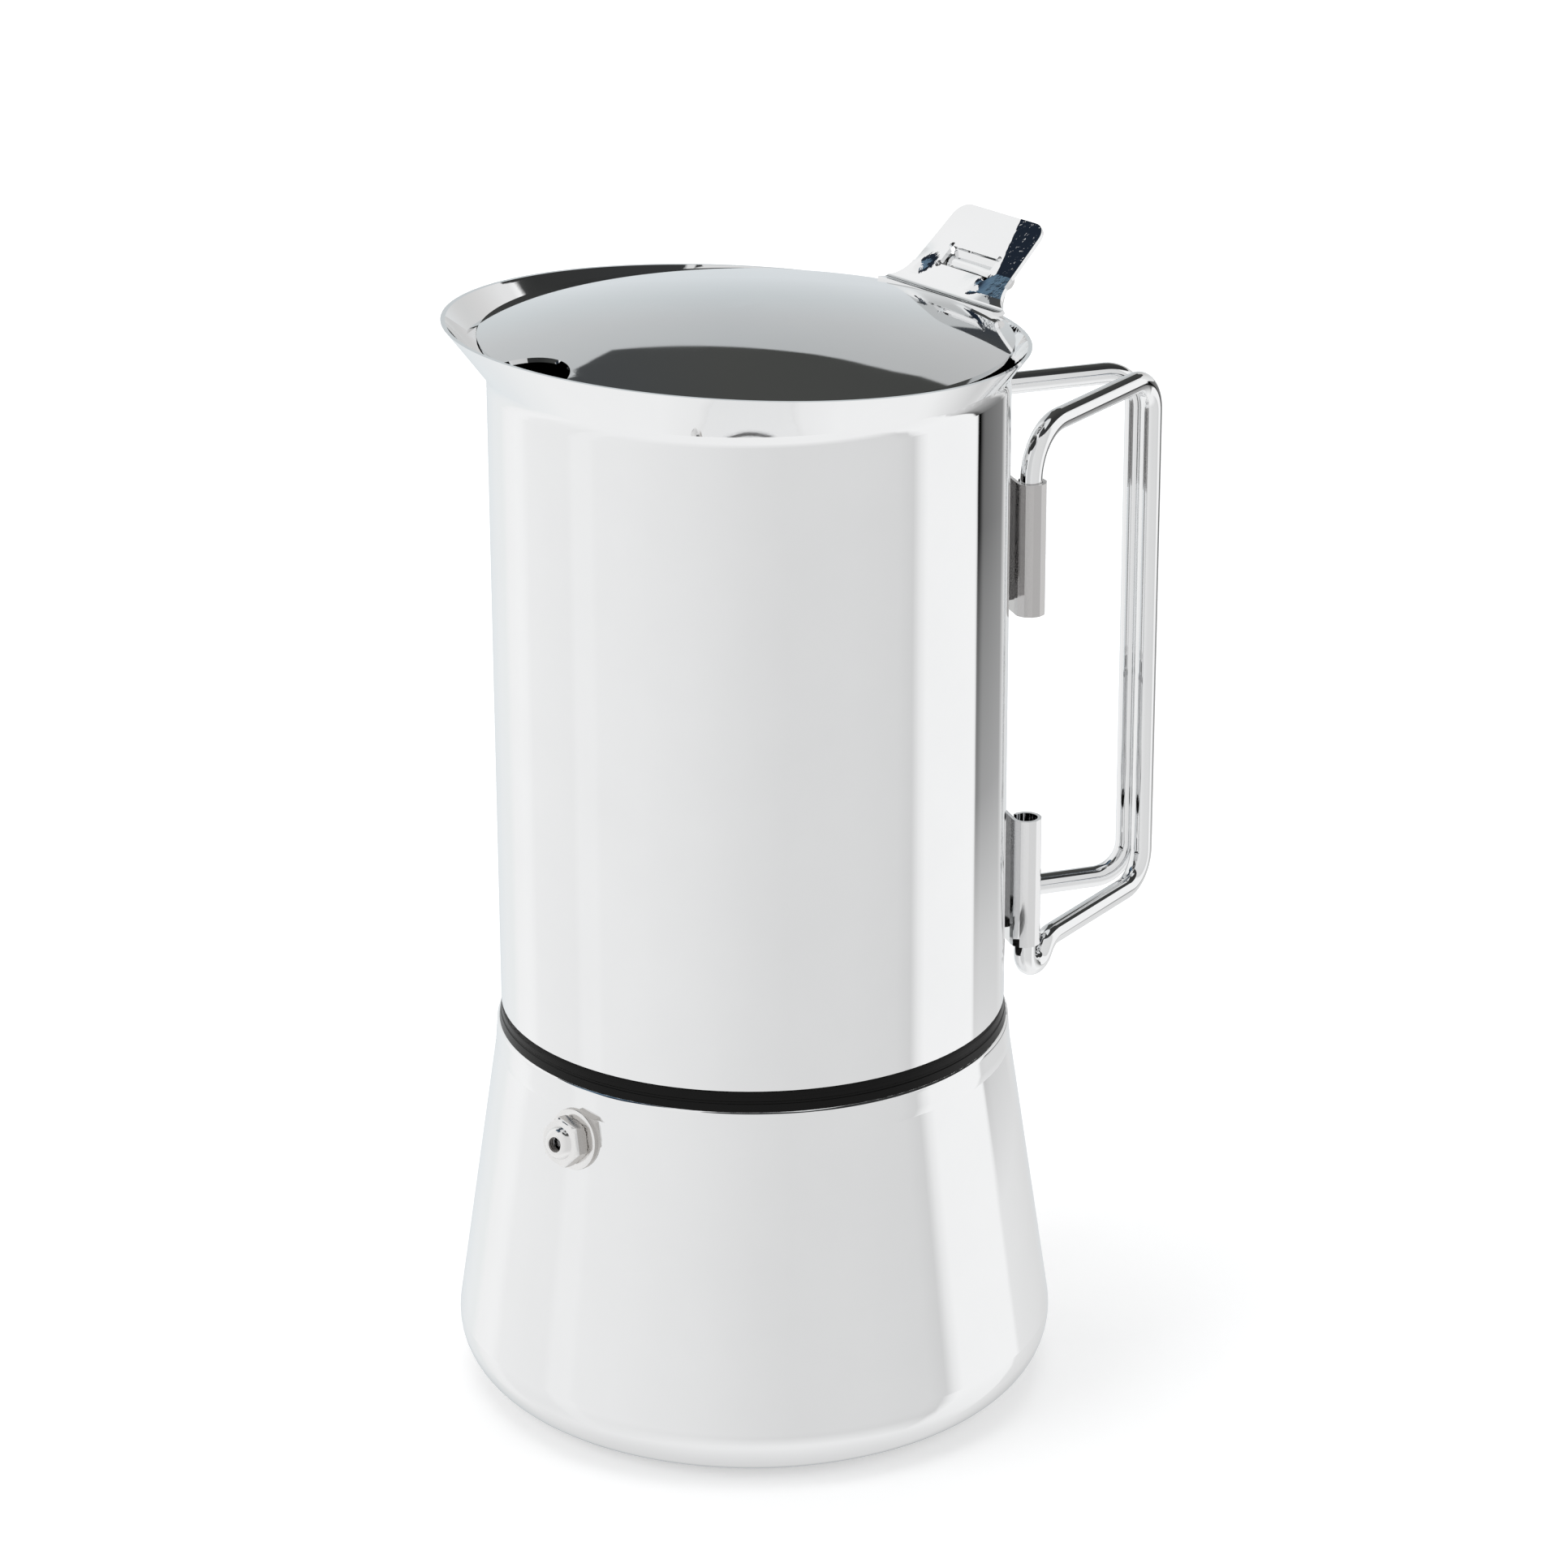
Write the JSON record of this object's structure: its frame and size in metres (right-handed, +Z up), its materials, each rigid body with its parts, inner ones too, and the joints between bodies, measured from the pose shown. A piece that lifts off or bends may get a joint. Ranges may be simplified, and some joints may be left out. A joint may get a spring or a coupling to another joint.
{
  "type": "stovetop coffee pot",
  "caption": "Stainless stovetop coffee pot: tapered boiler, screw-on jug with flared rim, hinged sheet lid and a handle of two folding wire loops.",
  "frame": {"origin": "centre of the boiler's flat base, on the table", "axes": "+Z up the pot's axis; +X towards the handle and lid hinge; the spout is at -X"},
  "size_m": [0.147, 0.1076, 0.2054],
  "materials": {
    "polished_steel": "mirror polished stainless steel sheet and wire",
    "satin_steel": "satin stainless steel",
    "ring_plastic": "dark heat-resistant plastic, satin",
    "seal_rubber": "silicone rubber"
  },
  "bodies": {
    "boiler": {"boiler_shell": "polished_steel", "boiler_neck": "satin_steel", "valve_body": "satin_steel", "valve_seal": "seal_rubber", "valve_nut": "satin_steel", "valve_spring": "satin_steel", "valve_plug": "satin_steel"},
    "relief_pin": {"valve_pin": "satin_steel"},
    "funnel": {"funnel_basket": "satin_steel", "funnel_stem": "satin_steel", "funnel_screen": "satin_steel"},
    "ring": {"joint_ring": "ring_plastic"},
    "jug": {"jug_shell": "polished_steel", "jug_floor": "satin_steel", "jug_collar": "satin_steel", "column": "satin_steel", "column_cap": "satin_steel", "gasket": "seal_rubber", "filter_plate": "satin_steel", "upper_bracket": "polished_steel", "lower_bracket": "polished_steel", "hinge_bracket": "polished_steel", "hinge_pin": "polished_steel"},
    "lid": {"lid": "polished_steel"},
    "loop_front": {"handle_front": "polished_steel"},
    "loop_rear": {"handle_rear": "polished_steel"}
  },
  "joints": [
    {"name": "funnel_lift", "type": "slide", "parent": "boiler", "child": "funnel", "axis": [0, 0, 1], "range_m": [0, 0.085]},
    {"name": "unscrew_rise", "type": "slide", "parent": "funnel", "child": "ring", "axis": [0, 0, 1], "range_m": [0, 0.00601]},
    {"name": "unscrew_turn", "type": "hinge", "parent": "ring", "child": "jug", "pos_m": [0, 0, 0.07207], "axis": [0, 0, 1], "range_deg": [0, 720]},
    {"name": "lid_hinge", "type": "hinge", "parent": "jug", "child": "lid", "pos_m": [0.05069, 0, 0.19608], "axis": [0, 1, 0], "range_deg": [0, 95]},
    {"name": "loop_front_fold", "type": "hinge", "parent": "jug", "child": "loop_front", "pos_m": [0.0509, -0.0154, 0.12], "axis": [0, 0, 1], "range_deg": [-145, 0]},
    {"name": "loop_rear_fold", "type": "hinge", "parent": "jug", "child": "loop_rear", "pos_m": [0.0509, 0.0154, 0.12], "axis": [0, 0, 1], "range_deg": [0, 145]},
    {"name": "valve_blow", "type": "slide", "parent": "boiler", "child": "relief_pin", "axis": [-0.9719, -0.1837, 0.1469], "range_m": [0, 0.0015], "stiffness_N_per_m": 1500, "springref_m": -0.001, "deforming": ["valve_spring"]}
  ],
  "couplings": [
    {"joint": "unscrew_rise", "follows": "unscrew_turn", "m_per_rad": 0.00047746}
  ]
}
